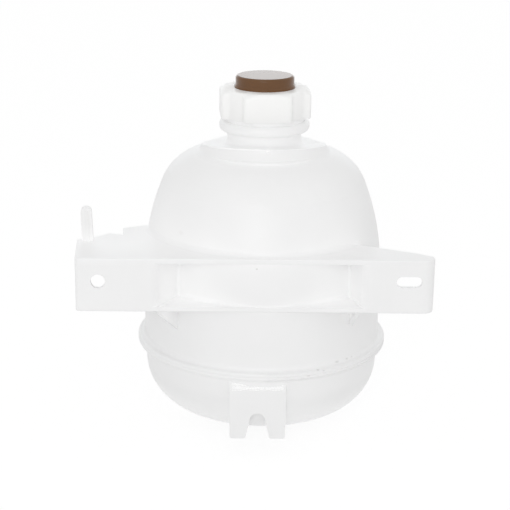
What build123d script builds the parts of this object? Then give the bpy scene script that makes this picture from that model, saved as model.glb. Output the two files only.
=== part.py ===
from build123d import *
import math
import os

os.makedirs("parts", exist_ok=True)

# Coolant expansion tank in millimetres, drawn with its axis on Z, the weld between its halves at height 0
# and the bracket side towards -Y. The finished pieces move to the bolt hole, which is the part's origin.

# Upper half: a dome on a straight side
body_radius = 76.2
wall = 3.0
side_start = 45.0  # height where the side begins to lean in
side_curve = 157.0
shoulder_curve = 32.0
dome_top = 123.9

# Lower half: a bowl with a knuckle and a shallow crown
bowl_inset = 0.9  # narrower than the dome by this all round
bowl_depth = 54.0
knuckle_curve = 32.0
knuckle_drop = 13.0

# Weld flange, half of it on each half of the tank
flange_reach = 4.5  # out from the dome's side
flange_half = 2.6
flange_edge = 1.5
seam_edge = 0.7
flange_root = 2.4

# Raised pad round the neck, set a little towards the bracket side
pad_radius = 39.5
pad_shift = 5.0
pad_slope = 8.0  # degrees
pad_edge = 1.4

# Filler neck
neck_radius = 23.3
pad_rise = 4.4  # from the dome's top to the neck's foot
neck_root = 3.2  # hollow curve from the pad up into the neck
bead_radius = 28.5
neck_length = 8.1  # up to the bead
bead_height = 7.0
bead_edge = 3.0
collar_radius = 25.3  # plain step between the bead and the cap
collar_gap = 0.4
spigot_radius = 20.6
spigot_length = 14.1  # above the bead
neck_bore = 17.6
rim_edge = 0.6

# Bracket arms: two flanges with a web that steps back to the tank
mount_standoff = 0.8  # from the tank's side to the mounting plane
arm_top = 74.3
arm_height = 33.4
arm_wall = 3.0
arm_edge = 0.9
arm_corner = 2.0
left_reach = 113.4
right_reach = 102.3
shelf_edge = [(-2.5, 40.0), (7.3, 44.5), (16.6, 54.0), (25.2, 51.2), (24.1, 65.8)]  # in from the end, back
shelf_root = 74.0  # back from the mounting plane to where a flange's back edge meets the tank
blade_root = 32.9
root_sink = 3.6  # how far it runs in
blade_edge = [(9.8, 15.1), (1.4, 9.0)]
plate_left = 66.0  # where the flush plates end
plate_right = 59.5
web_left_angle = 225.0  # degrees, where a web meets the tank
web_right_angle = 315.0
web_knee = 6.0
right_corner = 6.0
end_wall_depth = 17.0
bolt_drop = 14.5  # from the arms' top to the round hole
hole_inset = 13.5  # in from the left end
hole_radius = 4.3
slot_inset = 16.4  # in from the right end
slot_rise = 0.8  # above the round hole
slot_length = 15.3
slot_width = 6.8
left_gusset = (22.0, 19.0)  # how far a gusset runs out under its arm and down the tank
right_gusset = (15.0, 16.0)

# Upright finger on the left arm
peg_side = 4.6  # in from the left end
peg_back = 38.0  # from the mounting plane
peg_width = 6.8
peg_height = 22.3
peg_depth = 4.2
peg_rib = 2.2
peg_lean = 2.5  # degrees

# Fork foot under the weld flange
foot_x = -3.5
foot_width = 34.6
foot_top = -5.3
foot_ramp = 4.6
foot_tip = -41.4
foot_taper = 0.2  # each leg narrows by this on its outer side
foot_wall = 3.0
foot_corner = 1.6
arch_top = -24.7
arch_radius = 4.9
fork_mouth = 7.4  # half width of the slot at the tips
rib_reach = 34.0

# Hose stubs at the back
lower_stub_height = -26.0
lower_stub_radius = 9.5
lower_stub_bore = 7.0
lower_stub_end = 108.0
upper_stub_height = 98.0
upper_stub_radius = 4.6
upper_stub_bore = 2.8
upper_stub_end = 96.0
barb_rise = 0.8
barb_length = 4.0

# Screw cap
cap_radius = 27.6
grip_face = 28.0  # from the axis to a grip's flat face
grip_width = 30.0
grip_turn = 3.0  # degrees
grip_corner = 2.0
cap_gap = 2.6  # above the neck bead
cap_top_wall = 4.0
cap_edge = 1.2
cap_crown = 27.0  # the flat top's radius
cap_slope = 31.0  # degrees, from the flat top down to the grips' corners
thread_gap = 1.3  # between neck and cap, where the threads run
button_radius = 18.4
button_foot = 19.1
button_foot_height = 1.2
button_height = 7.6
button_wall = 2.4
button_edge = 1.6
snap_ring_wall = 2.0
snap_ring_height = 3.0
snap_clearance = 0.1

# Valve unit hanging in the neck
turn_clearance = 0.3
seal_clearance = 0.3
housing_clearance = 1.4
housing_flange = 2.0
housing_wall = 3.6
housing_depth = 24.0
housing_roof = 3.0
hub_radius = 9.5
hub_lip = 1.4
hub_lip_height = 1.6
vent_radius = 1.3
vent_drop = 3.0
ring_section = 1.55
ring_drop = 7.0
seat_flange = 2.0
seat_depth = 4.5
seat_bore = 8.0
seat_lip = 1.0
seat_clearance = 0.1
plate_radius = 11.4
plate_thick = 2.0
seal_thick = 1.0
seal_inner = 7.0
seal_outer = 10.6
spring_radius = 8.6
spring_wire = 0.8
spring_turns = 5
stem_radius = 1.5
stem_clearance = 0.2
stem_length = 5.4
poppet_radius = 4.6
poppet_thick = 1.0
vacuum_seal_thick = 1.4
port_radius = 0.9
port_circle = 3.0
keeper_radius = 3.2
keeper_thick = 1.0
vacuum_wire = 0.25
vacuum_turns = 3

# Places worked out from the sizes above
front = -(body_radius + mount_standoff)
bowl_radius = body_radius - bowl_inset
flange_radius = body_radius + flange_reach
arm_bottom = arm_top - arm_height
bolt_height = arm_top - bolt_drop
hole_x = hole_inset - left_reach
slot_x = right_reach - slot_inset
peg_x = peg_side - left_reach
neck_base = dome_top + pad_rise
bead_base = neck_base + neck_length
bead_top = bead_base + bead_height
rim_height = bead_top + spigot_length
cap_base = bead_top + cap_gap
housing_top = rim_height + housing_flange
cap_top = housing_top + cap_top_wall
housing_radius = neck_bore - housing_clearance
cavity_radius = housing_radius - housing_wall
housing_base = rim_height - housing_depth
housing_ceiling = housing_top - housing_roof
seat_top = housing_base + seat_depth + seat_lip
plate_base = seat_top + seal_thick
plate_top = plate_base + plate_thick
hub_top = cap_top + turn_clearance + hub_lip_height
ring_height = rim_height - ring_drop
ring_radius = neck_bore - seal_clearance - ring_section


def dome_end(inset):
    """Meeting point of side and shoulder, and the crown's outer edge, for a skin set in by inset."""
    side_centre = Vector(body_radius - side_curve, side_start)
    rise = dome_top - shoulder_curve - side_start
    run = math.sqrt((side_curve - shoulder_curve) ** 2 - rise**2)
    shoulder_centre = side_centre + Vector(run, rise)
    meet = side_centre + Vector(run, rise).normalized() * (side_curve - inset)
    return meet, (shoulder_centre.X, dome_top - inset)


def dome_skin(foot, inset):
    """Closed half section of the dome above a foot line that ends on the straight side."""
    meet, crown = dome_end(inset)
    side = TangentArc(foot @ 1, meet, tangent=(0, 1))
    TangentArc(meet, crown, tangent=side % 1)
    Polyline(crown, (0, dome_top - inset), (0, 0))


def bowl_skin(foot, inset):
    """Closed half section of the bowl below a foot line that ends at the top of the knuckle."""
    reach = bowl_radius - knuckle_curve
    drop = bowl_depth - knuckle_drop
    crown_curve = (reach**2 + drop**2 - knuckle_curve**2) / (2 * (drop - knuckle_curve))
    crown_centre = Vector(0, crown_curve - bowl_depth)
    out = (Vector(reach, -knuckle_drop) - crown_centre).normalized()
    meet = crown_centre + out * (crown_curve - inset)
    knuckle = TangentArc(foot @ 1, meet, tangent=(0, -1))
    crown = TangentArc(meet, (0, inset - bowl_depth), tangent=knuckle % 1)
    Line(crown @ 1, (0, 0))


def web_root(angle):
    """Point on the tank's side at an angle from +X."""
    return Vector(body_radius, 0).rotate(Axis.Z, angle)


def flange_end(back, side):
    """Point just inside the tank's side, this far back from the mounting plane, left (-1) or right (1)."""
    reach = body_radius - root_sink
    return side * math.sqrt(reach**2 - (front + back) ** 2), front + back


def web_face(plate_end, root, side):
    """Front (1) or back (-1) face of a slanted web: its start, its direction and its end in the tank."""
    knee = Vector(plate_end, front + arm_wall / 2)
    along = (root - knee).normalized()
    across = along.rotate(Axis.Z, math.copysign(90, plate_end)) * arm_wall / 2 * side
    return knee + across - along * 2 * arm_wall, along, root + across + along * 2 * wall


def back_pocket(plate_end, root, end_wall):
    """Plan of the space behind a flush plate, between its end wall and its slanted web."""
    start, along, inside = web_face(plate_end, root, -1)
    plate_back = front + arm_wall
    bend = start + along * ((plate_back - start.Y) / along.Y)
    return [(end_wall, plate_back), bend, inside, (inside.X, 0), (end_wall, 0)]


def gusset_plane(root, out):
    """Upright plane that runs out from a web's root, with its origin under the arm."""
    origin = Vector(root.X, root.Y, arm_bottom)
    return Plane(origin=origin, x_dir=out, z_dir=out.cross(Vector(0, 0, 1)))


def stub_section(height, radius, end, reach):
    """Half section of a hose stub that points to +Y, with a bead at its mouth."""
    with BuildSketch(Plane.XY.offset(height)) as section:
        with BuildLine():
            Polyline(
                (0, reach),
                (radius, reach),
                (radius, end - 2 * barb_length),
                (radius + barb_rise, end - barb_length - barb_rise),
                (radius + barb_rise, end - barb_rise),
                (radius, end),
                (0, end),
                close=True,
            )
        make_face()
    return section.sketch


def stub_axis(height):
    """Middle line of a hose stub."""
    return Axis((0, 0, height), (0, 1, 0))


def stub_mouth(height, radius, end):
    """Round mouth of a hose stub's bore."""
    with BuildSketch(Plane.XZ.offset(-end)) as mouth:
        with Locations((0, height)):
            Circle(radius)
    return mouth.sketch


left_root = web_root(web_left_angle)
right_root = web_root(web_right_angle)
right_blade = [flange_end(blade_root, 1)]
right_blade += [(right_reach - inward, front + back) for inward, back in blade_edge]
right_blade += [(right_reach, front)]

# Both bracket arms before the dome is cut from them: a block with pockets that leave two flanges and the
# webs between them. The top flange is a wide notched shelf on the left.
with BuildPart() as arms:
    with BuildSketch(Plane.XY.offset(arm_bottom)) as blades:
        with BuildLine():
            flare = end_wall_depth * shelf_edge[0][0] / shelf_edge[0][1]
            left_blade = [(flare - left_reach, front + end_wall_depth)]
            left_blade += [flange_end(blade_root, -1)]
            Polyline((-left_reach, front), *left_blade, (0, 0), *right_blade, close=True)
        make_face()
        fillet(blades.vertices().sort_by(Axis.X)[:2], arm_corner)
        fillet(blades.vertices().sort_by(Axis.X)[-1], right_corner)
    extrude(amount=arm_top - arm_bottom)
    with BuildSketch(Plane.XY.offset(arm_top - arm_wall)) as top_flange:
        with BuildLine():
            shelf = [(inward - left_reach, front + back) for inward, back in shelf_edge]
            shelf += [flange_end(shelf_root, -1)]
            Polyline((-left_reach, front), *shelf, (0, 0), (0, front), close=True)
        make_face()
        fillet(top_flange.vertices().sort_by(Axis.X)[:2], arm_corner)
    extrude(amount=arm_wall)
    with BuildSketch(Plane.XY.offset(arm_bottom + arm_wall)):
        with BuildLine():
            left_start, _, left_inside = web_face(-plate_left, left_root, 1)
            right_start, _, right_inside = web_face(plate_right, right_root, 1)
            Polyline(left_start, left_inside, right_inside, right_start, close=True)
        make_face()
        with BuildLine():
            Polyline(*back_pocket(-plate_left, left_root, arm_wall - left_reach), close=True)
        make_face()
        with BuildLine():
            Polyline(*back_pocket(plate_right, right_root, right_reach - arm_wall), close=True)
        make_face()
    extrude(amount=arm_top - arm_bottom - 2 * arm_wall, mode=Mode.SUBTRACT)
    knees = arms.edges().filter_by(Axis.Z).filter_by_position(Axis.Y, front - 0.01, front + 0.01)
    fillet(knees.filter_by_position(Axis.X, -plate_left - web_knee, plate_right + web_knee), web_knee)
    for level in (0, -1):
        outline = arms.faces().sort_by(Axis.Z)[level].outer_wire().edges()
        outer = [edge for edge in outline if math.hypot(edge.center().X, edge.center().Y) > body_radius / 2]
        fillet(outer, arm_edge)

# Outside of the dome with its half of the weld flange
with BuildPart() as dome:
    with BuildSketch(Plane.XZ):
        with BuildLine():
            rim = [(flange_radius, 0), (flange_radius, flange_half), (body_radius, flange_half)]
            edges = [seam_edge, flange_edge, flange_root]
            foot = FilletPolyline((0, 0), *rim, (body_radius, side_start), radius=edges)
            dome_skin(foot, 0)
        make_face()
    revolve(axis=Axis.Z)

# Bracket on the dome's front: arms, gussets and finger, with the bolt hole on the left, the slot on the right
with BuildPart() as bracket:
    add(arms.part)
    right_knee = Vector(plate_right, front + arm_wall / 2)
    left_run = (left_root, left_root.normalized(), *left_gusset)
    right_run = (right_root, (right_knee - right_root).normalized(), *right_gusset)
    for root, out, reach, drop in (left_run, right_run):
        with BuildSketch(gusset_plane(root, out)):
            with BuildLine():
                sunk = 2 * wall
                low_end = (-sunk, -drop * (1 + sunk / reach))
                Polyline((-sunk, 0), (reach, 0), low_end, close=True)
            make_face()
        extrude(amount=arm_wall / 2, both=True)
    # upright finger with a rib down its front
    lean = math.radians(peg_lean)
    across = (math.cos(lean), 0, math.sin(lean))
    peg_foot = (peg_x, front + peg_back, arm_top - arm_wall / 2)
    peg_plane = Plane(origin=peg_foot, x_dir=across, z_dir=(0, -1, 0))
    finger = (peg_width, peg_height, peg_depth)
    rib = (peg_rib, peg_height - peg_rib, peg_depth + peg_rib)
    for width, height, depth in (finger, rib):
        with BuildSketch(peg_plane):
            with Locations((0, height / 2)):
                SlotOverall(height + arm_wall / 2, width, rotation=90)
        extrude(amount=depth / 2, both=True)
    add(dome.part, mode=Mode.SUBTRACT)
    with BuildSketch(Plane.XZ.offset(-front)):
        with Locations((hole_x, bolt_height)):
            Circle(hole_radius)
        with Locations((slot_x, bolt_height + slot_rise)):
            SlotOverall(slot_length, slot_width)
    extrude(amount=-2 * arm_wall, mode=Mode.SUBTRACT)

# Sloping pad round the neck
with BuildPart() as neck_pad:
    pad_foot = dome_top - 2 * wall
    with BuildSketch(Plane.XY.offset(pad_foot)):
        with Locations((0, -pad_shift)):
            Circle(pad_radius)
    extrude(amount=neck_base + wall - pad_foot)
    with BuildSketch(Plane.XZ):
        with BuildLine():
            far = pad_radius + pad_shift + wall
            fall = (far - neck_radius) * math.tan(math.radians(pad_slope))
            top_line = [(neck_radius, neck_base), (far, neck_base - fall), (far, 0), (0, 0)]
            Polyline((0, neck_base), *top_line, close=True)
        make_face()
    revolve(axis=Axis.Z, mode=Mode.INTERSECT)
    fillet(neck_pad.faces().filter_by(GeomType.CONE).edges().sort_by(SortBy.LENGTH)[-1], pad_edge)

# Upper half: dome, pad, filler neck and return stub
with BuildPart() as upper_tank:
    add(dome.part)
    add(neck_pad.part)
    # filler neck with its bead and the plain spigot that carries the thread
    with BuildSketch(Plane.XZ) as neck_section:
        with BuildLine():
            root_out = neck_radius + neck_root
            root_low = neck_base - neck_root * math.tan(math.radians(pad_slope))
            root_line = [(root_out, root_low), (neck_radius, neck_base), (neck_radius, bead_base)]
            root = FilletPolyline(*root_line, radius=neck_root)
            Polyline(
                root @ 1,
                (bead_radius, bead_base),
                (bead_radius, bead_top),
                (collar_radius, bead_top),
                (collar_radius, cap_base - collar_gap),
                (spigot_radius, cap_base - collar_gap),
                (spigot_radius, rim_height),
                (0, rim_height),
                (0, pad_foot),
                (root_out, pad_foot),
                root @ 0,
            )
        make_face()
        fillet(neck_section.vertices().sort_by(Axis.X)[-2:], bead_edge)
    revolve(axis=Axis.Z)
    upper_section = stub_section(upper_stub_height, upper_stub_radius, upper_stub_end, body_radius / 2)
    revolve(upper_section, axis=stub_axis(upper_stub_height))
    # inside of the dome, the neck's bore and the stub's bore
    with BuildSketch(Plane.XZ):
        with BuildLine():
            foot = Polyline((0, 0), (body_radius - wall, 0), (body_radius - wall, side_start))
            dome_skin(foot, wall)
        make_face()
    revolve(axis=Axis.Z, mode=Mode.SUBTRACT)
    with BuildSketch(Plane.XY.offset(rim_height)):
        Circle(neck_bore)
    extrude(amount=-(rim_height - dome_top + 2 * wall), mode=Mode.SUBTRACT)
    upper_mouth = stub_mouth(upper_stub_height, upper_stub_bore, upper_stub_end)
    extrude(upper_mouth, amount=upper_stub_end - body_radius / 2, mode=Mode.SUBTRACT)
    chamfer(upper_tank.edges().filter_by(GeomType.CIRCLE).group_by(Axis.Z)[-1], rim_edge)

# Lower moulding: bowl, flange, fork foot and outlet stub
with BuildPart() as lower_tank:
    with BuildSketch(Plane.XZ):
        with BuildLine():
            rim = [(flange_radius, 0), (flange_radius, -flange_half), (bowl_radius, -flange_half)]
            edges = [seam_edge, flange_edge, flange_root]
            foot = FilletPolyline((0, 0), *rim, (bowl_radius, -knuckle_drop), radius=edges)
            bowl_skin(foot, 0)
        make_face()
    revolve(axis=Axis.Z)
    # front plate of the fork, with the arched slot left open between its legs
    half_foot = foot_width / 2
    with BuildSketch(Plane.XZ.offset(-front)) as fork:
        with BuildLine():
            Polyline(
                (foot_x - half_foot, foot_top - foot_ramp),
                (foot_x - half_foot, arch_top),
                (foot_x - half_foot + foot_taper, foot_tip),
                (foot_x + half_foot - foot_taper, foot_tip),
                (foot_x + half_foot, arch_top),
                (foot_x + half_foot, foot_top - foot_ramp),
                close=True,
            )
        make_face()
        with BuildLine():
            arch_base = arch_top - arch_radius
            left_side = Line((foot_x - fork_mouth, foot_tip), (foot_x - arch_radius, arch_base))
            arch = ThreePointArc(left_side @ 1, (foot_x, arch_top), (foot_x + arch_radius, arch_base))
            Polyline(arch @ 1, (foot_x + fork_mouth, foot_tip), left_side @ 0)
        make_face(mode=Mode.SUBTRACT)
        fillet(fork.vertices().group_by(Axis.Y)[0], foot_corner)
    extrude(amount=-foot_wall)
    # ribs that carry the legs back to the bowl, and the ramp that closes the fork above
    outer_rib = half_foot - foot_taper - foot_wall / 2
    for offset_x in (-outer_rib, outer_rib):
        with BuildSketch(Plane.YZ.offset(foot_x + offset_x)):
            with BuildLine():
                Polyline(
                    (front + foot_wall / 2, foot_top - foot_ramp),
                    (front + foot_wall / 2, foot_tip + foot_wall),
                    (front + 3 * foot_wall, foot_tip + foot_wall),
                    (front + rib_reach, foot_tip - foot_wall),
                    (front + rib_reach, foot_top - foot_ramp),
                    close=True,
                )
            make_face()
        extrude(amount=foot_wall / 2, both=True)
    with BuildSketch(Plane.YZ.offset(foot_x)):
        with BuildLine():
            Polyline(
                (front, foot_top - foot_ramp),
                (front + foot_ramp, foot_top),
                (front + rib_reach, foot_top),
                (front + rib_reach, foot_top - foot_ramp - foot_wall),
                (front, foot_top - foot_ramp - foot_wall),
                close=True,
            )
        make_face()
    extrude(amount=half_foot, both=True)
    lower_section = stub_section(lower_stub_height, lower_stub_radius, lower_stub_end, bowl_radius / 2)
    revolve(lower_section, axis=stub_axis(lower_stub_height))
    # inside of the bowl and the stub's bore
    with BuildSketch(Plane.XZ):
        with BuildLine():
            foot = Polyline((0, 0), (bowl_radius - wall, 0), (bowl_radius - wall, -knuckle_drop))
            bowl_skin(foot, wall)
        make_face()
    revolve(axis=Axis.Z, mode=Mode.SUBTRACT)
    lower_mouth = stub_mouth(lower_stub_height, lower_stub_bore, lower_stub_end)
    extrude(lower_mouth, amount=lower_stub_end - bowl_radius / 2, mode=Mode.SUBTRACT)

# Screw cap: a round shell with four flat grips
with BuildPart() as cap_shell:
    with BuildSketch(Plane.XY.offset(cap_base)) as grips:
        Circle(cap_radius)
        Rectangle(2 * grip_face, grip_width, rotation=grip_turn)
        Rectangle(2 * grip_face, grip_width, rotation=grip_turn + 90)
        fillet(grips.vertices().group_by(SortBy.DISTANCE)[-1], grip_corner)
    extrude(amount=cap_top - cap_base)
    # the top falls away to the grips' corners
    with BuildSketch(Plane.XZ):
        with BuildLine():
            corner = grip_face + grip_width / 2
            corner_top = cap_top - (corner - cap_crown) * math.tan(math.radians(cap_slope))
            crown = [(0, cap_top), (cap_crown, cap_top), (corner, corner_top)]
            Polyline((0, cap_base), *crown, (corner, cap_base), close=True)
        make_face()
    revolve(axis=Axis.Z, mode=Mode.INTERSECT)
    fillet(cap_shell.faces().sort_by(Axis.Z)[-1].edges(), cap_edge)
    # ring that the button snaps over
    ring_outer = button_radius - button_wall - snap_clearance
    with BuildSketch(Plane.XY.offset(cap_top)):
        Circle(ring_outer)
    extrude(amount=snap_ring_height)
    with BuildSketch(Plane.XY.offset(cap_top + snap_ring_height)):
        Circle(ring_outer - snap_ring_wall)
    extrude(amount=-snap_ring_height, mode=Mode.SUBTRACT)
    # threaded skirt and the hole for the insert's hub
    with BuildSketch(Plane.XY.offset(cap_base)):
        Circle(spigot_radius + thread_gap)
    extrude(amount=housing_top - cap_base, mode=Mode.SUBTRACT)
    with BuildSketch(Plane.XY.offset(housing_top)):
        Circle(hub_radius + turn_clearance)
    extrude(amount=cap_top_wall, mode=Mode.SUBTRACT)

with BuildPart() as cap_button:
    with BuildSketch(Plane.XZ) as button_section:
        with BuildLine():
            button_top = cap_top + button_height
            Polyline(
                (0, button_top),
                (button_radius, button_top),
                (button_radius, cap_top + 2 * button_foot_height),
                (button_foot, cap_top + button_foot_height),
                (button_foot, cap_top),
                (button_radius - button_wall, cap_top),
                (button_radius - button_wall, button_top - button_wall),
                (0, button_top - button_wall),
                close=True,
            )
        make_face()
    revolve(axis=Axis.Z)
    fillet(cap_button.faces().sort_by(Axis.Z)[-1].edges(), button_edge)

# Insert that hangs in the neck, open below, with vents above its seal
with BuildPart() as valve_housing:
    with BuildSketch(Plane.XZ):
        with BuildLine():
            Polyline(
                (0, hub_top),
                (hub_radius + hub_lip, hub_top),
                (hub_radius + hub_lip, hub_top - hub_lip_height),
                (hub_radius, hub_top - hub_lip_height),
                (hub_radius, housing_top),
                (spigot_radius - rim_edge, housing_top),
                (spigot_radius - rim_edge, rim_height),
                (housing_radius, rim_height),
                (housing_radius, housing_base),
                (cavity_radius, housing_base),
                (cavity_radius, housing_ceiling),
                (0, housing_ceiling),
                close=True,
            )
        make_face()
    revolve(axis=Axis.Z)
    with BuildSketch(Plane.XZ):
        with Locations((ring_radius, ring_height)):
            Circle(ring_section)
    revolve(axis=Axis.Z, mode=Mode.SUBTRACT)
    vent_plane = Plane.XZ.offset(housing_radius + housing_clearance)
    with BuildSketch(vent_plane, vent_plane.rotated((0, 0, 90))):
        with Locations((0, rim_height - vent_drop)):
            Circle(vent_radius)
    extrude(amount=-2 * neck_bore, mode=Mode.SUBTRACT)

with BuildPart() as neck_o_ring:
    with BuildSketch(Plane.XZ):
        with Locations((ring_radius, ring_height)):
            Circle(ring_section)
    revolve(axis=Axis.Z)

with BuildPart() as valve_seat:
    with BuildSketch(Plane.XZ):
        with BuildLine():
            Polyline(
                (seat_bore, housing_base - seat_flange),
                (housing_radius, housing_base - seat_flange),
                (housing_radius, housing_base),
                (cavity_radius - seat_clearance, housing_base),
                (cavity_radius - seat_clearance, seat_top - seat_lip),
                (seat_bore + seat_lip, seat_top - seat_lip),
                (seat_bore + seat_lip, seat_top),
                (seat_bore, seat_top),
                close=True,
            )
        make_face()
    revolve(axis=Axis.Z)

with BuildPart() as pressure_plate:
    with BuildSketch(Plane.XY.offset(plate_base)):
        Circle(plate_radius)
        Circle(stem_radius + stem_clearance, mode=Mode.SUBTRACT)
        with PolarLocations(port_circle, 4):
            Circle(port_radius, mode=Mode.SUBTRACT)
    extrude(amount=plate_thick)

with BuildPart() as pressure_seal:
    with BuildSketch(Plane.XY.offset(seat_top)):
        Circle(seal_outer)
        Circle(seal_inner, mode=Mode.SUBTRACT)
    extrude(amount=seal_thick)


def coil(foot, head, radius, wire, turns):
    """Coil spring that stands between two levels, its wire's ends level with them."""
    length = head - foot - 2 * wire
    path = Pos(0, 0, foot + wire) * Helix(pitch=length / turns, height=length, radius=radius)
    section = Plane(origin=path @ 0, z_dir=path % 0) * Circle(wire)
    return sweep(section, path=path)


pressure_coil = coil(plate_top, housing_ceiling, spring_radius, spring_wire, spring_turns)
with BuildPart() as pressure_spring:
    add(pressure_coil)

# Vacuum valve in the middle of the pressure plate
keeper_base = plate_top + stem_length - keeper_thick
poppet_top = plate_base - vacuum_seal_thick
with BuildPart() as vacuum_poppet:
    with BuildSketch(Plane.XY.offset(poppet_top - poppet_thick)):
        Circle(poppet_radius)
    extrude(amount=poppet_thick)
    with BuildSketch(Plane.XY.offset(poppet_top)):
        Circle(stem_radius)
    extrude(amount=plate_top + stem_length - poppet_top)

with BuildPart() as vacuum_seal:
    with BuildSketch(Plane.XY.offset(poppet_top)):
        Circle(poppet_radius)
        Circle(stem_radius + snap_clearance, mode=Mode.SUBTRACT)
    extrude(amount=vacuum_seal_thick)

with BuildPart() as vacuum_keeper:
    with BuildSketch(Plane.XY.offset(keeper_base)):
        Circle(keeper_radius)
        Circle(stem_radius + snap_clearance, mode=Mode.SUBTRACT)
    extrude(amount=keeper_thick)

vacuum_coil = coil(plate_top, keeper_base, (stem_radius + keeper_radius) / 2, vacuum_wire, vacuum_turns)
with BuildPart() as vacuum_spring:
    add(vacuum_coil)

pieces = {
    "upper_tank": upper_tank,
    "arm_bracket": bracket,
    "lower_tank": lower_tank,
    "cap_shell": cap_shell,
    "cap_button": cap_button,
    "valve_housing": valve_housing,
    "neck_o_ring": neck_o_ring,
    "valve_seat": valve_seat,
    "pressure_plate": pressure_plate,
    "pressure_seal": pressure_seal,
    "pressure_spring": pressure_spring,
    "vacuum_poppet": vacuum_poppet,
    "vacuum_seal": vacuum_seal,
    "vacuum_keeper": vacuum_keeper,
    "vacuum_spring": vacuum_spring,
}
to_hole = Location((-hole_x, -front, -bolt_height))
for name, piece in pieces.items():
    piece.part.locate(to_hole)
    piece.part.label = name
    export_step(piece.part, f"parts/{name}.step")
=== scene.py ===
import math

import bmesh
import bpy
import numpy as np
from mathutils import Matrix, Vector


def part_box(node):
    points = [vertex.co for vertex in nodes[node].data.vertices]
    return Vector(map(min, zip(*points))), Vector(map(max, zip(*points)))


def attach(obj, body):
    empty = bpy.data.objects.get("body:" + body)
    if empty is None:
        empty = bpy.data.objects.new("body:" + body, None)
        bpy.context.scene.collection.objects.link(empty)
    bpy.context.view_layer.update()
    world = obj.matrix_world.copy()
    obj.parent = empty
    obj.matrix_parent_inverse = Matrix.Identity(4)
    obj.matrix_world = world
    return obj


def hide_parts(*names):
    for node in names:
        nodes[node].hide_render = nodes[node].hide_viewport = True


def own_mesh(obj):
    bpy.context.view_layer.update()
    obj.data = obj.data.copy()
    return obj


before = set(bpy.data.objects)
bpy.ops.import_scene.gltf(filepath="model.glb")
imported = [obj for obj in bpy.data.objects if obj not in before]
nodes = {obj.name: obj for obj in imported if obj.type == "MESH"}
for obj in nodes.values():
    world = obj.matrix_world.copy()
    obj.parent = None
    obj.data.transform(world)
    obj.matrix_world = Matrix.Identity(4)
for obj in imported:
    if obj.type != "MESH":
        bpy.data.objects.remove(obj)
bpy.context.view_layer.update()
print("frame loaded with", len(nodes), "nodes")

mm = 0.001
tiny = 1e-6  # keeps a division off zero
buttonLow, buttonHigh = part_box("cap_button")
axisX = (buttonLow.x + buttonHigh.x) / 2
axisY = (buttonLow.y + buttonHigh.y) / 2
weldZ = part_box("lower_tank")[1].z  # the lower half ends at the weld
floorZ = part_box("lower_tank")[0].z


def tankPlace(x, y, z):
    # millimetres from the tank's axis and its weld plane, turned to metres in the shared frame
    x, y, z = np.broadcast_arrays(x, y, z)
    return np.stack([axisX + x * mm, axisY + y * mm, weldZ + z * mm], -1)


def roundPlace(reach, angle, height):
    # a reach from the tank's axis, at an angle round it
    return tankPlace(reach * np.cos(angle), reach * np.sin(angle), height)


def roundAngles(count):
    # even steps of a full turn, which ends where it started
    return np.linspace(0, 2 * np.pi, count, endpoint=False)


def pulledCurve(first, corner, last, t):
    # a parabola from first to last, pulled to the corner between them
    return (1 - t) ** 2 * first + 2 * t * (1 - t) * corner + t ** 2 * last


def linearColour(hexText):
    # sRGB hex to linear light, with full alpha
    part = np.array([int(hexText[i:i + 2], 16) for i in (1, 3, 5)]) / 255
    light = np.where(part <= 0.04045, part / 12.92, ((part + 0.055) / 1.055) ** 2.4)
    return (*light.tolist(), 1.0)


def addNode(tree, kind, inputs=None, **settings):
    # a socket is linked, anything else is set on the input itself
    node = tree.nodes.new(kind)
    for name, value in settings.items():
        setattr(node, name, value)
    for key, value in (inputs or {}).items():
        if isinstance(value, bpy.types.NodeSocket):
            tree.links.new(value, node.inputs[key])
        else:
            node.inputs[key].default_value = value
    return node


def newMaterial(name):
    # an empty material with its output and object coordinates
    material = bpy.data.materials.new(name)
    material.use_nodes = True
    tree = material.node_tree
    tree.nodes.clear()
    output = addNode(tree, "ShaderNodeOutputMaterial")
    place = addNode(tree, "ShaderNodeTexCoord").outputs["Object"]
    return material, tree, output, place


meshing = {"merge": 1e-6, "sharp": 50}  # metres, degrees


def gridPiece(name, points, body, material, closeRows=False, closeCols=False):
    # a rows by columns grid of points becomes quads; a closed direction joins its last line to its first
    rows, cols = points.shape[:2]
    index = np.arange(rows * cols).reshape(rows, cols)
    if closeRows:
        index = np.vstack([index, index[:1]])
    if closeCols:
        index = np.hstack([index, index[:, :1]])
    quads = np.stack([index[:-1, :-1], index[1:, :-1], index[1:, 1:], index[:-1, 1:]], -1).reshape(-1, 4)
    mesh = bpy.data.meshes.new(name)
    mesh.from_pydata(points.reshape(-1, 3), [], quads)
    work = bmesh.new()
    work.from_mesh(mesh)
    bmesh.ops.remove_doubles(work, verts=work.verts, dist=meshing["merge"])
    bmesh.ops.recalc_face_normals(work, faces=work.faces)
    work.to_mesh(mesh)
    work.free()
    mesh.shade_smooth()
    mesh.set_sharp_from_angle(angle=math.radians(meshing["sharp"]))
    mesh.materials.append(material)
    piece = bpy.data.objects.new(name, mesh)
    bpy.context.scene.collection.objects.link(piece)
    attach(piece, body)
    print("piece", name, len(mesh.polygons), "faces")
    return piece


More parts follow.
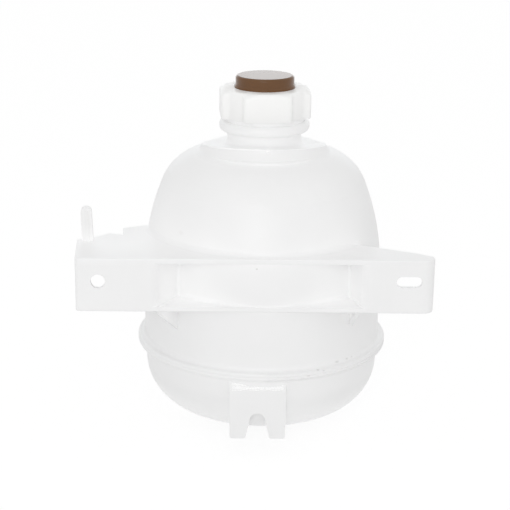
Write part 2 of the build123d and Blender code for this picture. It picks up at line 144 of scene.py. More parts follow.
# natural polypropylene, injection moulded: milky and satin. A faint glow, painted light that grows in shut-in corners,
# stands in for the light that comes through its walls
tankLook = {
    "pale": "#f9f9f9",
    "cloudy": "#f4f4f4",
    "cloudSize": 38 * mm,
    "stain": "#8d8981",
    "roughness": 0.42,
    "ior": 1.49,
    "grainSize": 0.9 * mm,
    "grainDepth": 0.1 * mm,
    "grainStrength": 0.06,
    "waveSize": 26 * mm,
    "waveDepth": 0.3 * mm,
    "waveStrength": 0.25,
    "glow": 0.052,  # where the outside is shut in, higher up than glowFrom
    "glowFrom": 40 * mm,  # from the weld up
    "glowFade": 2 * mm,
    "glowReach": 60 * mm,
    "glowShut": 0.65,  # open share at which a place is shut in
    "glowBelow": 0.16,  # on faces that look down, under the weld
    "belowFade": 3 * mm,
    "belowFacing": (-0.2, -0.9),  # upward part of the normal, from no glow to full glow
}
# marks of use, and a darker tone over the whole peg:
# place in millimetres from the tank's axis and weld plane, half sizes, strength
stains = [
    ((-51.1, -50.2, 82.7), (2.8, 2.8, 1.8), 0.07),
    ((-5.1, -74.4, 67.5), (0.8, 1.2, 0.7), 0.3),
    ((33.1, -72.3, 2.6), (1.4, 1.2, 0.7), 0.35),
    ((36.8, -71.8, 1.8), (1.2, 1.2, 0.6), 0.25),
    ((45.2, -61.4, 3.7), (2.2, 2.2, 0.9), 0.25),
    ((51.7, -56.0, 3.7), (1.6, 1.6, 0.8), 0.25),
    ((55.0, -52.8, 3.8), (1.2, 1.4, 0.8), 0.2),
    ((27.5, -75.9, 0.0), (1.8, 1.2, 0.6), 0.25),
    # darker over the whole peg
    ((-109, -40, 86), (7, 9, 18), 0.09),
]
# painted light: added glow on shaded places in the recesses, on the shelf and by the gussets: place, half sizes, added
# glow
paintedLightSpots = [
    ((-60.0, -64.7, 57.6), (11, 14, 26), 0.04),
    ((56.7, -64.7, 57.6), (9, 14, 26), 0.03),
    ((-95, -52, 74.3), (50, 44, 6), 0.03),
    ((-44, -66, 43.9), (30, 16, 4), 0.06),
    ((42, -66, 43.9), (26, 16, 4), 0.06),
    ((52, -55.5, 37), (8, 8, 10), 0.1),
    ((-62.0, -62.0, 33), (8, 8, 16), 0.08),
    ((61.0, -61.0, 34), (7, 7, 14), 0.08),
]
spotCore = 0.2  # share of a spot's half size that has its full strength


def spotMask(tree, place, spots):
    # each spot fades from its core to its edge, measured in its own half sizes; the strongest one counts
    mask = None
    for centre, half, strength in spots:
        size = np.array(half) * mm
        shift = tuple(-tankPlace(*centre) / size)
        near = addNode(tree, "ShaderNodeVectorMath", {0: place, 1: tuple(1 / size), 2: shift},
                       operation="MULTIPLY_ADD")
        far = addNode(tree, "ShaderNodeVectorMath", {0: near.outputs["Vector"]}, operation="LENGTH")
        spot = addNode(tree, "ShaderNodeMapRange", {
            "Value": far.outputs["Value"], "From Min": 1.0, "From Max": spotCore,
            "To Min": 0.0, "To Max": strength}).outputs[0]
        if mask is None:
            mask = spot
        else:
            mask = addNode(tree, "ShaderNodeMath", {0: mask, 1: spot}, operation="MAXIMUM").outputs[0]
    return mask


def makePolypropylene(name, look):
    material, tree, output, place = newMaterial(name)
    cloud = addNode(tree, "ShaderNodeTexNoise", {"Vector": place, "Scale": 1 / look["cloudSize"], "Detail": 3.0})
    tint = addNode(tree, "ShaderNodeMix", {
        0: cloud.outputs["Fac"], "A": linearColour(look["cloudy"]), "B": linearColour(look["pale"])},
        data_type="RGBA")
    tint = addNode(tree, "ShaderNodeMix", {
        0: spotMask(tree, place, stains), "A": tint.outputs["Result"], "B": linearColour(look["stain"])},
        data_type="RGBA")
    grain = addNode(tree, "ShaderNodeTexNoise", {"Vector": place, "Scale": 1 / look["grainSize"], "Detail": 2.0})
    wave = addNode(tree, "ShaderNodeTexNoise", {"Vector": place, "Scale": 1 / look["waveSize"], "Detail": 1.0})
    wavy = addNode(tree, "ShaderNodeBump", {
        "Strength": look["waveStrength"], "Distance": look["waveDepth"], "Height": wave.outputs["Fac"]})
    bump = addNode(tree, "ShaderNodeBump", {
        "Strength": look["grainStrength"], "Distance": look["grainDepth"], "Height": grain.outputs["Fac"],
        "Normal": wavy.outputs["Normal"]})
    # painted light: the glow grows as a place is more shut in, above glowFrom and on faces under the weld that look
    # down
    corner = addNode(tree, "ShaderNodeAmbientOcclusion", {"Distance": look["glowReach"]}, samples=8)
    shut = addNode(tree, "ShaderNodeMapRange", {
        "Value": corner.outputs["AO"], "From Min": 1.0, "From Max": look["glowShut"]})
    height = addNode(tree, "ShaderNodeSeparateXYZ", {0: place})
    low = weldZ + look["glowFrom"]
    above = addNode(tree, "ShaderNodeMapRange", {
        "Value": height.outputs["Z"], "From Min": low, "From Max": low + look["glowFade"], "To Max": look["glow"]})
    facing = addNode(tree, "ShaderNodeSeparateXYZ", {0: addNode(tree, "ShaderNodeNewGeometry").outputs["Normal"]})
    below = addNode(tree, "ShaderNodeMapRange", {
        "Value": facing.outputs["Z"], "From Min": look["belowFacing"][0], "From Max": look["belowFacing"][1],
        "To Max": look["glowBelow"]})
    under = addNode(tree, "ShaderNodeMapRange", {
        "Value": height.outputs["Z"], "From Min": weldZ, "From Max": weldZ - look["belowFade"]})
    below = addNode(tree, "ShaderNodeMath", {0: below.outputs[0], 1: under.outputs[0]}, operation="MULTIPLY")
    both = addNode(tree, "ShaderNodeMath", {0: above.outputs[0], 1: below.outputs[0]}, operation="ADD")
    glow = addNode(tree, "ShaderNodeMath", {0: shut.outputs[0], 1: both.outputs[0]}, operation="MULTIPLY")
    glow = addNode(tree, "ShaderNodeMath", {0: glow.outputs[0], 1: spotMask(tree, place, paintedLightSpots)},
                   operation="ADD")
    shader = addNode(tree, "ShaderNodeBsdfPrincipled", {
        "Base Color": tint.outputs["Result"], "Roughness": look["roughness"], "IOR": look["ior"],
        "Emission Color": tint.outputs["Result"], "Emission Strength": glow.outputs[0],
        "Normal": bump.outputs["Normal"]})
    tree.links.new(shader.outputs["BSDF"], output.inputs["Surface"])
    return material


# polypropylene whitened where it was torn and rubbed: chalky, rougher and whiter than the skin round it, with a painted
# glint
whitenedLook = {"white": "#ffffff", "pale": "#fbfbfb", "roughness": 0.6, "ior": 1.49, "glow": 0.05,
                "tearSize": 2.2 * mm, "tearDepth": 0.1 * mm, "tearStrength": 0.15}


def makeWhitened(look):
    material, tree, output, place = newMaterial("stress_whitened_polypropylene_painted_glint")
    tear = addNode(tree, "ShaderNodeTexNoise", {"Vector": place, "Scale": 1 / look["tearSize"], "Detail": 3.0})
    tint = addNode(tree, "ShaderNodeMix", {
        0: tear.outputs["Fac"], "A": linearColour(look["pale"]), "B": linearColour(look["white"])},
        data_type="RGBA")
    bump = addNode(tree, "ShaderNodeBump", {
        "Strength": look["tearStrength"], "Distance": look["tearDepth"], "Height": tear.outputs["Fac"]})
    # painted highlight: the glow makes the whitened flash shine brighter than its colour alone
    shader = addNode(tree, "ShaderNodeBsdfPrincipled", {
        "Base Color": tint.outputs["Result"], "Roughness": look["roughness"], "IOR": look["ior"],
        "Emission Color": linearColour(look["white"]), "Emission Strength": look["glow"],
        "Normal": bump.outputs["Normal"]})
    tree.links.new(shader.outputs["BSDF"], output.inputs["Surface"])
    return material


# white polypropylene cap, moulded: opaque and a touch whiter than the tank
capLook = {"white": "#fffffe", "shade": "#fcfcfb", "cloudSize": 14 * mm, "roughness": 0.38, "ior": 1.49,
           "grainSize": 0.7 * mm, "grainDepth": 0.1 * mm, "grainStrength": 0.05}


def makeCapPlastic(look):
    material, tree, output, place = newMaterial("white_polypropylene_cap")
    cloud = addNode(tree, "ShaderNodeTexNoise", {"Vector": place, "Scale": 1 / look["cloudSize"], "Detail": 2.0})
    tint = addNode(tree, "ShaderNodeMix", {
        0: cloud.outputs["Fac"], "A": linearColour(look["shade"]), "B": linearColour(look["white"])},
        data_type="RGBA")
    grain = addNode(tree, "ShaderNodeTexNoise", {"Vector": place, "Scale": 1 / look["grainSize"], "Detail": 2.0})
    bump = addNode(tree, "ShaderNodeBump", {
        "Strength": look["grainStrength"], "Distance": look["grainDepth"], "Height": grain.outputs["Fac"]})
    shader = addNode(tree, "ShaderNodeBsdfPrincipled", {
        "Base Color": tint.outputs["Result"], "Roughness": look["roughness"], "IOR": look["ior"],
        "Normal": bump.outputs["Normal"]})
    tree.links.new(shader.outputs["BSDF"], output.inputs["Surface"])
    return material


# brown ABS button, moulded in a polished tool: a deep brown with a clear but weak shine and a faint ripple
buttonLook = {"brown": "#714f31", "dark": "#65462d", "flowSize": 9 * mm, "roughness": 0.16, "ior": 1.54,
              "shine": 0.23, "rippleSize": 5 * mm, "rippleDepth": 0.1 * mm, "rippleStrength": 0.08}


def makeButtonPlastic(look):
    material, tree, output, place = newMaterial("brown_abs_polished")
    flow = addNode(tree, "ShaderNodeTexNoise", {"Vector": place, "Scale": 1 / look["flowSize"], "Detail": 3.0})
    tint = addNode(tree, "ShaderNodeMix", {
        0: flow.outputs["Fac"], "A": linearColour(look["dark"]), "B": linearColour(look["brown"])},
        data_type="RGBA")
    ripple = addNode(tree, "ShaderNodeTexNoise", {"Vector": place, "Scale": 1 / look["rippleSize"], "Detail": 1.0})
    bump = addNode(tree, "ShaderNodeBump", {
        "Strength": look["rippleStrength"], "Distance": look["rippleDepth"], "Height": ripple.outputs["Fac"]})
    shader = addNode(tree, "ShaderNodeBsdfPrincipled", {
        "Base Color": tint.outputs["Result"], "Roughness": look["roughness"], "IOR": look["ior"],
        "Specular IOR Level": look["shine"], "Normal": bump.outputs["Normal"]})
    tree.links.new(shader.outputs["BSDF"], output.inputs["Surface"])
    return material


# plain finishes of the pieces inside the cap: tone, second tone, size of the mottling, roughness, metallic
innerLooks = {
    "black_polyamide_insert": ("#1d1d1e", "#262627", 3 * mm, 0.45, 0.0),
    "black_epdm_seal": ("#141414", "#1e1e1d", 1.5 * mm, 0.7, 0.0),
    "spring_steel_drawn": ("#8f9194", "#a4a6a8", 0.8 * mm, 0.3, 1.0),
    "steel_plate_stamped": ("#a9aaac", "#bcbdbe", 1.6 * mm, 0.36, 1.0),
    "brass_poppet_turned": ("#b08c4a", "#c19d58", 1.2 * mm, 0.28, 1.0),
}
innerBump = {"strength": 0.08, "depth": 0.05 * mm}


def makeInner(name, look):
    dark, light, size, roughness, metallic = look
    material, tree, output, place = newMaterial(name)
    mottle = addNode(tree, "ShaderNodeTexNoise", {"Vector": place, "Scale": 1 / size, "Detail": 3.0})
    tint = addNode(tree, "ShaderNodeMix", {
        0: mottle.outputs["Fac"], "A": linearColour(dark), "B": linearColour(light)}, data_type="RGBA")
    bump = addNode(tree, "ShaderNodeBump", {
        "Strength": innerBump["strength"], "Distance": innerBump["depth"], "Height": mottle.outputs["Fac"]})
    shader = addNode(tree, "ShaderNodeBsdfPrincipled", {
        "Base Color": tint.outputs["Result"], "Roughness": roughness, "Metallic": metallic,
        "Normal": bump.outputs["Normal"]})
    tree.links.new(shader.outputs["BSDF"], output.inputs["Surface"])
    return material


polypropylene = makePolypropylene("natural_polypropylene_moulded_painted_glow", tankLook)
# painted shade: a copy with less of the painted glow keeps the roots between walls a little darker
paintedShadePolypropylene = makePolypropylene("natural_polypropylene_painted_shade", {**tankLook, "glow": 0.038})
whitened = makeWhitened(whitenedLook)
capPlastic = makeCapPlastic(capLook)
buttonPlastic = makeButtonPlastic(buttonLook)
inner = {name: makeInner(name, look) for name, look in innerLooks.items()}
finishes = {
    "upper_tank": polypropylene,
    "arm_bracket": polypropylene,
    "lower_tank": polypropylene,
    "cap_shell": capPlastic,
    "cap_button": buttonPlastic,
    "valve_housing": inner["black_polyamide_insert"],
    "valve_seat": inner["black_polyamide_insert"],
    "neck_o_ring": inner["black_epdm_seal"],
    "pressure_seal": inner["black_epdm_seal"],
    "vacuum_seal": inner["black_epdm_seal"],
    "pressure_plate": inner["steel_plate_stamped"],
    "vacuum_keeper": inner["steel_plate_stamped"],
    "pressure_spring": inner["spring_steel_drawn"],
    "vacuum_spring": inner["spring_steel_drawn"],
    "vacuum_poppet": inner["brass_poppet_turned"],
}
for name, node in nodes.items():
    node.data.materials.clear()
    node.data.materials.append(finishes[name])
print("finishes on", len(finishes), "nodes")

# screw thread on the neck, and half a pitch higher inside the cap; foot and crest are half widths
thread = {"pitch": 4.0, "turns": 2.0, "height": 0.9, "foot": 1.05, "crest": 0.45, "sink": 0.25,
          "neckRadius": 20.6, "capRadius": 21.9, "neckStart": 147.6, "capStart": 149.6,
          "runOut": 0.14, "least": 0.02, "sections": 161}


def threadPoints(radius, start, outward):
    # a trapezoid with a sunk foot goes round a helix; its size fades to almost nothing at both ends
    steps = np.linspace(0, 1, thread["sections"])
    angle = 2 * np.pi * thread["turns"] * steps
    fade = np.clip(np.minimum(steps, 1 - steps) / thread["runOut"], thread["least"], 1)
    out = np.array([-thread["sink"], 0, thread["height"], thread["height"], 0, -thread["sink"]])
    slope = thread["crest"] / thread["foot"]
    along = np.array([-1, -1, -slope, slope, 1, 1]) * thread["foot"]
    reach = radius + outward * np.where(out > 0, out * fade[:, None], out)
    height = start + thread["pitch"] * angle[:, None] / (2 * np.pi) + along * fade[:, None]
    return roundPlace(reach, angle[:, None], height)


gridPiece("neck_thread", threadPoints(thread["neckRadius"], thread["neckStart"], 1), "tank", polypropylene,
          closeCols=True)
gridPiece("cap_thread", threadPoints(thread["capRadius"], thread["capStart"], -1), "cap", capPlastic,
          closeCols=True)

# the cap with its grips run softly into each other; the thread's bore, the roof and the snap ring are as in the solid
cap = {"radius": 27.6, "gripFace": 28.0, "gripHalf": 15.0, "gripTurn": 3.0, "soften": 2.4, "base": 146.0,
       "top": 163.5, "crown": 27.0, "fall": 0.6, "flat": 25.8, "edge": 1.6, "foot": 0.5, "ringOuter": 15.85,
       "ringInner": 13.85, "ringTop": 166.5, "hub": 9.8, "roof": 159.5, "bore": 21.9, "sides": 720, "edgeSteps": 9}


def gripOutline(angle):
    # furthest of a circle and two crossed rectangles, blurred round the axis by a bell curve of soften degrees
    turned = angle - math.radians(cap["gripTurn"])
    across, along = np.maximum(np.abs(np.cos(turned)), tiny), np.maximum(np.abs(np.sin(turned)), tiny)
    first = np.minimum(cap["gripFace"] / across, cap["gripHalf"] / along)
    second = np.minimum(cap["gripFace"] / along, cap["gripHalf"] / across)
    plan = np.maximum(np.maximum(first, second), cap["radius"])
    wave = np.fft.rfftfreq(len(angle), 1 / len(angle))
    blur = np.exp(-0.5 * (wave * math.radians(cap["soften"])) ** 2)
    return np.fft.irfft(np.fft.rfft(plan) * blur, len(angle))


def capTop(reach):
    # flat out to the crown, then falling in a straight line to the corners of the grips
    return cap["top"] - cap["fall"] * np.clip(reach - cap["crown"], 0, None)


def capPoints():
    # a closed profile of reach and height goes round the axis; its outside follows the grips, its inside is round
    angle = roundAngles(cap["sides"])
    grip = gripOutline(angle)[:, None]
    t = np.linspace(0, 1, cap["edgeSteps"])[None, :]
    inside = grip - cap["edge"]
    edgeReach = pulledCurve(grip, grip, inside, t)
    edgeHeight = pulledCurve(capTop(grip) - cap["edge"], capTop(grip), capTop(inside), t)
    roundPart = np.array([
        (cap["flat"], cap["top"]), (cap["ringOuter"], cap["top"]), (cap["ringOuter"], cap["ringTop"]),
        (cap["ringInner"], cap["ringTop"]), (cap["ringInner"], cap["top"]), (cap["hub"], cap["top"]),
        (cap["hub"], cap["roof"]), (cap["bore"], cap["roof"]), (cap["bore"], cap["base"])])
    level = np.full_like(grip, cap["base"])
    reach = np.hstack([grip - cap["foot"], grip, edgeReach, np.tile(roundPart[:, 0], (len(grip), 1))])
    height = np.hstack([level, level + cap["foot"], edgeHeight, np.tile(roundPart[:, 1], (len(grip), 1))])
    return roundPlace(reach, angle[:, None], height)


capPiece = gridPiece("cap_body", capPoints(), "cap", capPlastic, closeRows=True, closeCols=True)
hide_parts("cap_shell")

# coil springs of the two valves, made at one length, though the real ones shorten as their valve opens:
# mean radius, wire's radius, turns, valve's travel
springs = {
    "pressure_coil": {"node": "pressure_spring", "body": "valve_unit", "joint": "pressure_lift", "radius": 8.6,
                      "wire": 0.8, "turns": 5, "travel": 2.5, "heldAtTop": True},
    "vacuum_coil": {"node": "vacuum_spring", "body": "pressure_valve", "joint": "vacuum_drop", "radius": 2.35,
                    "wire": 0.25, "turns": 3, "travel": 1.5, "heldAtTop": False},
}
springWire = {"clearance": 0.03, "sectionsPerTurn": 48, "sides": 12}


def springPoints(spring, foot, head):
    # a small circle carried up a helix between two levels; its first and last rings shrink to a point
    part = np.linspace(0, 1, springWire["sectionsPerTurn"] * spring["turns"] + 1)
    part = np.concatenate([part[:1], part, part[-1:]])[:, None]
    ring = roundAngles(springWire["sides"])[None, :]
    wire = np.full_like(part, spring["wire"])
    wire[0] = wire[-1] = 0.0
    low = foot + spring["wire"] + springWire["clearance"]
    high = head - spring["wire"] - springWire["clearance"]
    height = low + (high - low) * part + wire * np.sin(ring)
    return roundPlace(spring["radius"] + wire * np.cos(ring), 2 * np.pi * spring["turns"] * part, height)


for name, spring in springs.items():
    foot, head = [(corner.z - weldZ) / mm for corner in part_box(spring["node"])]
    coil = gridPiece(name, springPoints(spring, foot, head), spring["body"], inner["spring_steel_drawn"],
                     closeCols=True)
    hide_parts(spring["node"])
    tankPlace(0, 0, head if spring["heldAtTop"] else foot).tolist()
    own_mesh(coil)

# bead of melted plastic that the hot plate weld pressed into the seam; waves are count a turn, share and phase
weld = {"radius": 79.75, "thick": 0.75, "uneven": 0.1, "waves": ((37, 0.4, 0.0), (83, 0.35, 1.3), (151, 0.25, 0.4)),
        "sections": 720, "sides": 10}


def weldPoints():
    # a ring of small circles whose size wanders with the angle as a few sine waves added up
    angle = roundAngles(weld["sections"])[:, None]
    ring = roundAngles(weld["sides"])[None, :]
    wander = sum(share * np.sin(count * angle + phase) for count, share, phase in weld["waves"])
    thick = weld["thick"] + weld["uneven"] * wander
    return roundPlace(weld["radius"] + thick * np.cos(ring), angle, thick * np.sin(ring))


gridPiece("weld_bead", weldPoints(), "tank", polypropylene, closeRows=True, closeCols=True)

# the tank's own outside: an upright side, an arc that leans in, a shoulder and a flat crown
dome = {"sideStart": 45.0, "sideCurve": 157.0, "sideRadius": 76.2, "crown": 123.9, "shoulder": 32.0,
        "crownRadius": 35.07}


def domeRadius(z):
    # the dome's side is an arc that starts upright at sideStart
    lean = np.clip(z - dome["sideStart"], 0, None)
    return dome["sideRadius"] - dome["sideCurve"] + np.sqrt(dome["sideCurve"] ** 2 - lean ** 2)


def crownHeight(reach):
    # flat out to crownRadius, then down a circle of the shoulder's radius
    past = np.clip(reach - dome["crownRadius"], 0, dome["shoulder"])
    return dome["crown"] - dome["shoulder"] + np.sqrt(dome["shoulder"] ** 2 - past ** 2)


# hollow curves where the tank's side meets the bracket's top flange and, inside the recess, its bottom flange:
# degrees round the axis, largest and least radius, level of the flange's upper face
flangeRoots = {
    "dome_root": {"from": 186.0, "to": 322.0, "radius": 3.0, "least": 0.8, "level": 74.3},
    "recess_root": {"from": 226.0, "to": 314.0, "radius": 2.2, "least": 0.05, "level": 43.9},
}
flangeRoot = {"front": 77.0, "edge": 0.9, "share": 0.75, "fade": 0.05, "thinnest": 0.05, "flattest": 0.1,
              "inset": 0.01, "sink": 0.6, "sections": 137, "steps": 9}


def flangeRootPoints(root):
    # quarter circle between wall and flange, carried round the tank; it shrinks on a narrow flange and at its ends
    part = np.linspace(0, 1, flangeRoot["sections"])
    angle = np.radians(root["from"] + (root["to"] - root["from"]) * part)
    wall = domeRadius(root["level"])
    room = flangeRoot["front"] / np.maximum(-np.sin(angle), flangeRoot["flattest"]) - wall - flangeRoot["edge"]
    fade = np.clip(np.minimum(part, 1 - part) / flangeRoot["fade"], flangeRoot["thinnest"], 1)
    radius = (np.clip(flangeRoot["share"] * room, root["least"], root["radius"]) * fade)[:, None]
    swing = np.radians(np.linspace(0, 90, flangeRoot["steps"]))
    height = root["level"] + radius * (1 - np.sin(swing))
    reach = domeRadius(height) + radius * (1 - np.cos(swing)) - flangeRoot["inset"]
    # the last column is the corner, sunk into the wall and the flange
    height = np.hstack([height - flangeRoot["inset"], np.full_like(radius, root["level"] - flangeRoot["sink"])])
    reach = np.hstack([reach, np.full_like(radius, wall - flangeRoot["sink"])])
    return roundPlace(reach, angle[:, None], height)


for name, root in flangeRoots.items():
    # painted shade: the roots take the copy with less painted glow
    gridPiece(name, flangeRootPoints(root), "tank", paintedShadePolypropylene, closeCols=True)

# hollow curves where the slanted webs meet the tank: knee and root in plan, side that the recess is on
webRoots = {
    "web_root_left": ((-66.0, -75.5), (-53.9, -53.9), 1),
    "web_root_right": ((59.5, -75.5), (53.9, -53.9), -1),
}
webRoot = {"half": 1.5, "reach": 3.0, "low": 43.7, "high": 71.5, "sink": 0.6, "sections": 15, "steps": 9}


def webRootPoints(knee, root, side):
    # a parabola between the web's face and the tank's side, pulled to their corner, carried up the corner
    rise = np.linspace(webRoot["low"], webRoot["high"], webRoot["sections"])
    rise = np.concatenate([rise[:1], rise, rise[-1:]])[:, None]
    size = np.full_like(rise, webRoot["reach"])
    size[0] = size[-1] = 0.0
    along = (np.array(knee) - root) / np.hypot(*(np.array(knee) - root))
    start = np.array(root) + webRoot["half"] * side * np.array([-along[1], along[0]])
    half = start @ along
    # step from the root's line out to the tank's skin
    step = -half + np.sqrt(half ** 2 - start @ start + domeRadius(rise) ** 2)
    cornerX, cornerY = start[0] + step * along[0], start[1] + step * along[1]
    angle = np.arctan2(cornerY, cornerX)
    t = np.linspace(0, 1, webRoot["steps"])
    onWeb, onTank = (1 - t) ** 2 * size, t ** 2 * size
    swing = angle + side * onTank / domeRadius(rise)
    x = np.hypot(cornerX, cornerY) * np.cos(swing) + onWeb * along[0]
    y = np.hypot(cornerX, cornerY) * np.sin(swing) + onWeb * along[1]
    # the last column is the corner, sunk into the web and the tank
    x = np.hstack([x, cornerX - side * webRoot["sink"]])
    y = np.hstack([y, cornerY + webRoot["sink"]])
    return tankPlace(x, y, rise)


for name, (knee, root, side) in webRoots.items():
    # painted shade: the roots take the copy with less painted glow
    gridPiece(name, webRootPoints(knee, root, side), "tank", paintedShadePolypropylene,
              closeCols=True)

# round boss under the neck: its flat top leans back, so its front edge stands highest
boss = {"radius": 39.5, "level": 127.4, "lean": 7.0, "edge": 1.0, "neckRadius": 23.25, "neckRoot": 4.0,
        "draft": 0.6, "root": 2.6, "fullRoot": 4.0, "leastRoot": 0.1, "leastWall": 0.4, "lowWall": 0.1,
        "inset": 0.01, "sink": 0.6, "sinkUnder": 1.5, "core": 122.5, "sides": 240, "steps": 8, "flatSteps": 5}


def bossTop(y):
    # a plane that falls towards the back at the lean's angle
    return boss["level"] - y * math.tan(math.radians(boss["lean"]))


def bossPoints():
    # profile of reach and height at each angle: hollow curve at the neck, flat top, rounded edge, drafted wall and
    # hollow root
    angle = roundAngles(boss["sides"])[:, None]
    swing = np.radians(np.linspace(0, 90, boss["steps"]))[None, :]
    across = np.sin(angle)
    neckReach = boss["neckRadius"] + boss["neckRoot"] * (1 - np.cos(swing)) + 0 * angle
    neckHeight = bossTop(neckReach * across) + boss["neckRoot"] * (1 - np.sin(swing))
    flat = np.linspace(boss["neckRadius"] + boss["neckRoot"], boss["radius"] - boss["edge"], boss["flatSteps"])
    flatReach = flat[None, 1:-1] + 0 * angle
    flatHeight = bossTop(flatReach * across)
    edgeReach = boss["radius"] - boss["edge"] * (1 - np.sin(swing)) + 0 * angle
    edgeHeight = bossTop(edgeReach * across) - boss["edge"] * (1 - np.cos(swing))
    tall = np.clip(bossTop(boss["radius"] * across) - crownHeight(boss["radius"]), 0, None)
    footReach = boss["radius"] + boss["draft"] * tall
    footHeight = crownHeight(footReach)
    # the wall ends and the root starts at this share of the way down
    share = np.clip(1 - boss["root"] / np.maximum(tall, boss["lowWall"]), boss["leastWall"], 1)
    highReach = edgeReach[:, -1:] + (footReach - edgeReach[:, -1:]) * share
    highHeight = edgeHeight[:, -1:] + (footHeight - edgeHeight[:, -1:]) * share
    endReach = footReach + boss["root"] * np.clip(tall / boss["fullRoot"], boss["leastRoot"], 1)
    endHeight = crownHeight(endReach)
    t = np.linspace(0, 1, boss["steps"])[None, :]
    rootReach = pulledCurve(highReach, footReach, endReach, t)
    rootHeight = pulledCurve(highHeight, footHeight, endHeight, t) - boss["inset"]
    # the last two columns close the boss inside the dome
    neck, core = np.full_like(endReach, boss["neckRadius"]), np.full_like(endReach, boss["core"])
    reach = np.hstack([neckReach, flatReach, edgeReach, rootReach, endReach, neck])
    height = np.hstack([neckHeight, flatHeight, edgeHeight, rootHeight, endHeight - boss["sink"], core])
    # sunk at the back, where the top runs into the crown
    height = height - boss["sink"] * np.clip(1 - tall / boss["sinkUnder"], 0, 1)
    return roundPlace(reach, angle, height)


gridPiece("neck_boss", bossPoints(), "tank", polypropylene, closeRows=True, closeCols=True)

# whitened flash that the mould's split left on the boss's front edge: strong on the left, faint on the right
bossFlash = {"from": 204.0, "to": 326.0, "reach": 39.15, "thick": 0.44, "faint": 0.35, "turn": 268.0, "turnFade": 4.0,
             "endFade": 8.0, "thinnest": 0.02, "uneven": 0.25, "sink": 0.22, "sections": 161, "sides": 8}


def bossFlashPoints():
    # a thin round rod follows the edge; its thickness wanders with two sine waves and steps down past the turn
    degrees = np.linspace(bossFlash["from"], bossFlash["to"], bossFlash["sections"])[:, None]
    angle = np.radians(degrees)
    ring = roundAngles(bossFlash["sides"])[None, :]
    end = np.minimum(degrees - bossFlash["from"], bossFlash["to"] - degrees)
    ends = np.clip(end / bossFlash["endFade"], bossFlash["thinnest"], 1)
    strong = np.clip((bossFlash["turn"] - degrees) / bossFlash["turnFade"], 0, 1)
    strong = strong * (1 - bossFlash["faint"]) + bossFlash["faint"]
    wander = 1 + bossFlash["uneven"] * np.sin(0.9 * degrees) * np.sin(0.37 * degrees)
    thick = bossFlash["thick"] * ends * strong * wander
    height = bossTop(bossFlash["reach"] * np.sin(angle)) - bossFlash["sink"] + thick * np.sin(ring)
    return roundPlace(bossFlash["reach"] + thick * np.cos(ring), angle, height)


gridPiece("boss_flash", bossFlashPoints(), "tank", whitened, closeCols=True)

# stub that the gate left on the boss, in front of the neck
gate = {"x": 1.6, "y": -37.0, "half": (1.5, 3.6, 1.3), "sink": 0.9, "rings": 13, "sides": 24}


def gatePoints():
    # an ellipsoid more than half sunk into the boss's edge
    rise = np.linspace(-np.pi / 2, np.pi / 2, gate["rings"])[:, None]
    turn = roundAngles(gate["sides"])[None, :]
    x = gate["x"] + gate["half"][0] * np.cos(rise) * np.cos(turn)
    y = gate["y"] + gate["half"][1] * np.cos(rise) * np.sin(turn)
    return tankPlace(x, y, bossTop(gate["y"]) - gate["sink"] + gate["half"][2] * np.sin(rise))


gridPiece("gate_stub", gatePoints(), "tank", whitened, closeCols=True)

# torn flash on the ramp above the fork foot; gap and fades are shares of its length, rim of its width
rampFlash = {"left": -19.6, "right": 12.6, "top": -5.4, "bottom": -10.0, "front": -77.0, "depth": 4.6,
             "rough": 0.55, "skin": 0.2, "sink": 0.15, "core": 1.0, "gap": 0.63, "gapFade": 0.03, "endFade": 0.02,
             "rimFade": 0.12, "sections": 161, "steps": 13}


def rampFlashPoints():
    # a skin on the ramp with torn ridges along it and ticks across them, both sine waves; its rim is sunk into the ramp
    along = np.linspace(0, 1, rampFlash["sections"])[:, None]
    down = np.append(np.linspace(0, 1, rampFlash["steps"]), 0.5)[None, :]  # the last column closes it inside the ramp
    ridges = np.sin(6 * np.pi * down + 1.6 + 0.7 * np.sin(17 * along) + 0.4 * np.sin(41 * along + 1)) * 0.6
    ticks = np.sin(113 * along - 9 * down + 1.7) * 0.22
    wander = ridges + ticks + np.sin(197 * along + 14 * down + 0.6) * 0.18
    ends = np.minimum(along, 1 - along) / rampFlash["endFade"]
    rims = np.minimum(down, 1 - down) / rampFlash["rimFade"]
    edge = np.clip(np.minimum(ends, rims), 0, 1)
    edge = edge * np.clip(np.abs(along - rampFlash["gap"]) / rampFlash["gapFade"], 0, 1)
    off = -rampFlash["sink"] + edge * (rampFlash["skin"] + rampFlash["rough"] * np.clip(wander, 0, 1))
    off[:, -1] = -rampFlash["core"]
    step = math.sqrt(0.5) * off  # the ramp falls at 45 degrees
    x = rampFlash["left"] + (rampFlash["right"] - rampFlash["left"]) * along
    y = rampFlash["front"] + rampFlash["depth"] * (1 - down) - step
    z = rampFlash["top"] + (rampFlash["bottom"] - rampFlash["top"]) * down + step
    return tankPlace(x, y, z)


gridPiece("ramp_flash", rampFlashPoints(), "tank", whitened, closeCols=True)

# floor and sky: white paper that keeps a faint share of the object's shadow, and an even light from all round
stage = {"floorSize": 14.0, "white": "#ffffff", "paper": "#ececec", "floorGlow": 1.09, "shadow": 0.22, "sky": 0.81,
         "zenith": 0.78}


def seenShare(tree):
    # one for rays from the camera, off a shiny surface or through a clear one; zero for rays that light the object
    path = addNode(tree, "ShaderNodeLightPath").outputs
    seen = addNode(tree, "ShaderNodeMath", {0: path["Is Camera Ray"], 1: path["Is Glossy Ray"]}, operation="MAXIMUM")
    seen = addNode(tree, "ShaderNodeMath", {0: seen.outputs[0], 1: path["Is Transmission Ray"]}, operation="MAXIMUM")
    return seen.outputs[0]


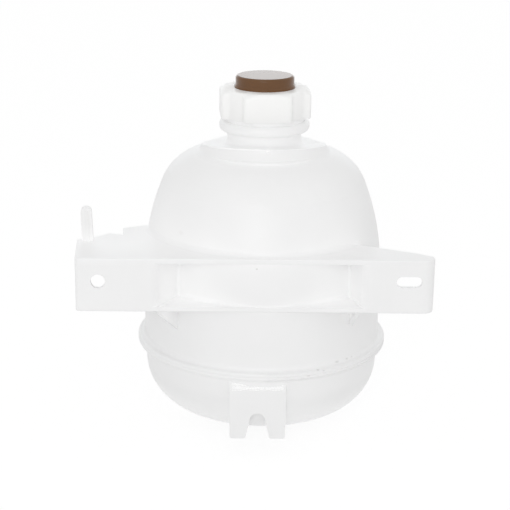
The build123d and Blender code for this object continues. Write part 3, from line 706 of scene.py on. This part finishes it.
def makeFloor():
    material, tree, output = newMaterial("white_paper_sweep")[:3]
    share = addNode(tree, "ShaderNodeMath", {0: seenShare(tree), 1: 1 - stage["shadow"]}, operation="MULTIPLY")
    paper = addNode(tree, "ShaderNodeBsdfDiffuse", {"Color": linearColour(stage["paper"])})
    glow = addNode(tree, "ShaderNodeEmission", {"Color": linearColour(stage["white"]), "Strength": stage["floorGlow"]})
    mix = addNode(tree, "ShaderNodeMixShader", {0: share.outputs[0], 1: paper.outputs[0], 2: glow.outputs[0]})
    tree.links.new(mix.outputs[0], output.inputs["Surface"])
    half = stage["floorSize"] / 2
    corners = [(axisX + a * half, axisY + b * half, floorZ) for a, b in ((-1, -1), (1, -1), (1, 1), (-1, 1))]
    mesh = bpy.data.meshes.new("floor")
    mesh.from_pydata(corners, [], [(0, 1, 2, 3)])
    mesh.materials.append(material)
    floor = bpy.data.objects.new("floor", mesh)
    bpy.context.scene.collection.objects.link(floor)


def makeSky():
    world = bpy.data.worlds.new("studio_sky")
    bpy.context.scene.world = world
    world.use_nodes = True
    tree = world.node_tree
    tree.nodes.clear()
    # a little less light from straight above than from the sides
    up = addNode(tree, "ShaderNodeSeparateXYZ", {0: addNode(tree, "ShaderNodeTexCoord").outputs["Generated"]})
    level = addNode(tree, "ShaderNodeMapRange", {
        "Value": up.outputs["Z"], "To Min": stage["sky"], "To Max": stage["zenith"]})
    white = linearColour(stage["white"])
    dim = addNode(tree, "ShaderNodeBackground", {"Color": white, "Strength": level.outputs[0]})
    full = addNode(tree, "ShaderNodeBackground", {"Color": white, "Strength": 1.0})
    mix = addNode(tree, "ShaderNodeMixShader", {0: seenShare(tree), 1: dim.outputs[0], 2: full.outputs[0]})
    output = addNode(tree, "ShaderNodeOutputWorld")
    tree.links.new(mix.outputs[0], output.inputs["Surface"])


# soft boxes, one beside the camera and one behind that only shows as a shine:
# place from the tank's middle in metres, size in metres, power in watts, colour, lights matt faces too
softBoxes = {
    "key": ((-0.12, -1.2, 0.36), (0.5, 0.4), 2.4, "#ffffff", True),
    "shine": ((0.0, 1.0, 0.24), (1.2, 0.22), 0.7, "#eff9ff", False),
}
tankMiddle = 50  # millimetres above the weld


def makeSoftBoxes():
    middle = tankPlace(0, 0, tankMiddle)
    for name, (offset, size, power, colour, onMatt) in softBoxes.items():
        lamp = bpy.data.lights.new(name, "AREA")
        lamp.shape = "RECTANGLE"
        lamp.size, lamp.size_y = size
        lamp.energy = power
        lamp.color = linearColour(colour)[:3]
        box = bpy.data.objects.new(name, lamp)
        box.visible_diffuse = onMatt
        box.location = middle + np.array(offset)
        aim = -np.array(offset)
        flat = math.hypot(aim[0], aim[1])
        box.rotation_euler = (math.atan2(flat, -aim[2]), 0, math.atan2(-aim[0], aim[1]))
        bpy.context.scene.collection.objects.link(box)


# camera worked out from the rings of the button, the bead and the weld flange in the photograph
shot = {"sensor": 36.0, "focalPixels": 1400, "imagePixels": 510, "distance": 909 * mm, "pitch": 0.301, "roll": 0.0076,
        "aim": (-23.6, 0.0, 53.1), "shift": 0.057, "clip": (0.05, 60.0)}


def makeCamera():
    lens = bpy.data.cameras.new("photo_camera")
    lens.sensor_width = shot["sensor"]
    lens.sensor_fit = "HORIZONTAL"
    lens.lens = shot["focalPixels"] / shot["imagePixels"] * shot["sensor"]
    lens.shift_x = shot["shift"]
    lens.clip_start, lens.clip_end = shot["clip"]
    camera = bpy.data.objects.new("photo_camera", lens)
    aim = tankPlace(*shot["aim"])
    back = np.array([0, -math.cos(shot["pitch"]), math.sin(shot["pitch"])])
    camera.location = aim + shot["distance"] * back
    turn = np.array([[math.cos(shot["roll"]), -math.sin(shot["roll"]), 0],
                     [math.sin(shot["roll"]), math.cos(shot["roll"]), 0], [0, 0, 1]])
    side = np.array([1.0, 0, 0])
    look = np.stack([side, np.cross(back, side), back], -1) @ turn
    camera.rotation_euler = Matrix(look.tolist()).to_euler()
    bpy.context.scene.collection.objects.link(camera)
    bpy.context.scene.camera = camera


makeFloor()
makeSky()
makeSoftBoxes()
makeCamera()
bpy.context.scene.view_settings.view_transform = "Standard"
print("stage, lights and camera set")
